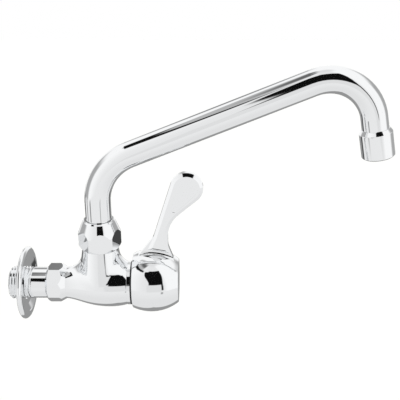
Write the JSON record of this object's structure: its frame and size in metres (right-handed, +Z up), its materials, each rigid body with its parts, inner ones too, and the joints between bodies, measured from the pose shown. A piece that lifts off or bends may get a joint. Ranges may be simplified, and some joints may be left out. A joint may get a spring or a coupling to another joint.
{
  "type": "wall-mounted sink tap",
  "caption": "Wall-mounted single lever sink tap with a swivelling bent tube spout, a quarter turn lever, a wall flange and an aerator.",
  "frame": {"origin": "On the axis of the inlet thread, in the plane of the wall flange's back, which is the wall's face.", "axes": "+X runs along the inlet axis from the wall towards the user, +Z is up, +Y is to the user's right when facing the wall. The spout swings about a vertical axis, and the lever turns about the inlet axis."},
  "size_m": [0.2374, 0.0464, 0.164],
  "materials": {
    "chrome": "polished chrome plate",
    "brass": "turned bare brass",
    "rubber": "matte black rubber",
    "white_plastic": "natural white moulded plastic",
    "ceramic": "lapped white ceramic",
    "fibre": "red fibre washer",
    "wire": "stainless steel"
  },
  "bodies": {
    "body": {"wall_flange": "chrome", "body": "chrome", "spout_nut": "chrome", "spout_thrust_washer": "white_plastic", "seat_seal": "rubber", "fixed_disc": "ceramic", "headwork_housing": "brass", "headwork_gasket": "fibre", "spindle_slip_washer": "white_plastic", "dust_ring": "rubber"},
    "spout": {"spout_tube": "chrome", "spout_ferrule": "brass", "spout_o_rings": "rubber", "spout_slip_ring": "white_plastic", "outlet_bush": "chrome", "aerator_housing": "chrome", "aerator_washer": "rubber", "aerator_insert": "white_plastic", "aerator_spacer": "white_plastic", "aerator_screen_1": "wire", "aerator_screen_2": "wire"},
    "handle": {"lever_handle": "chrome", "handle_cap": "chrome", "handle_screw": "wire", "spindle": "brass", "spindle_o_rings": "rubber", "spindle_circlip": "wire", "moving_disc": "ceramic"}
  },
  "joints": [
    {"name": "spout_swivel", "type": "hinge", "parent": "body", "child": "spout", "pos_m": [0.05, 0, 0], "axis": [0, 0, 1], "range_deg": [-100, 100]},
    {"name": "handle_turn", "type": "hinge", "parent": "body", "child": "handle", "pos_m": [0, 0, 0], "axis": [1, 0, 0], "range_deg": [0, 90]}
  ]
}
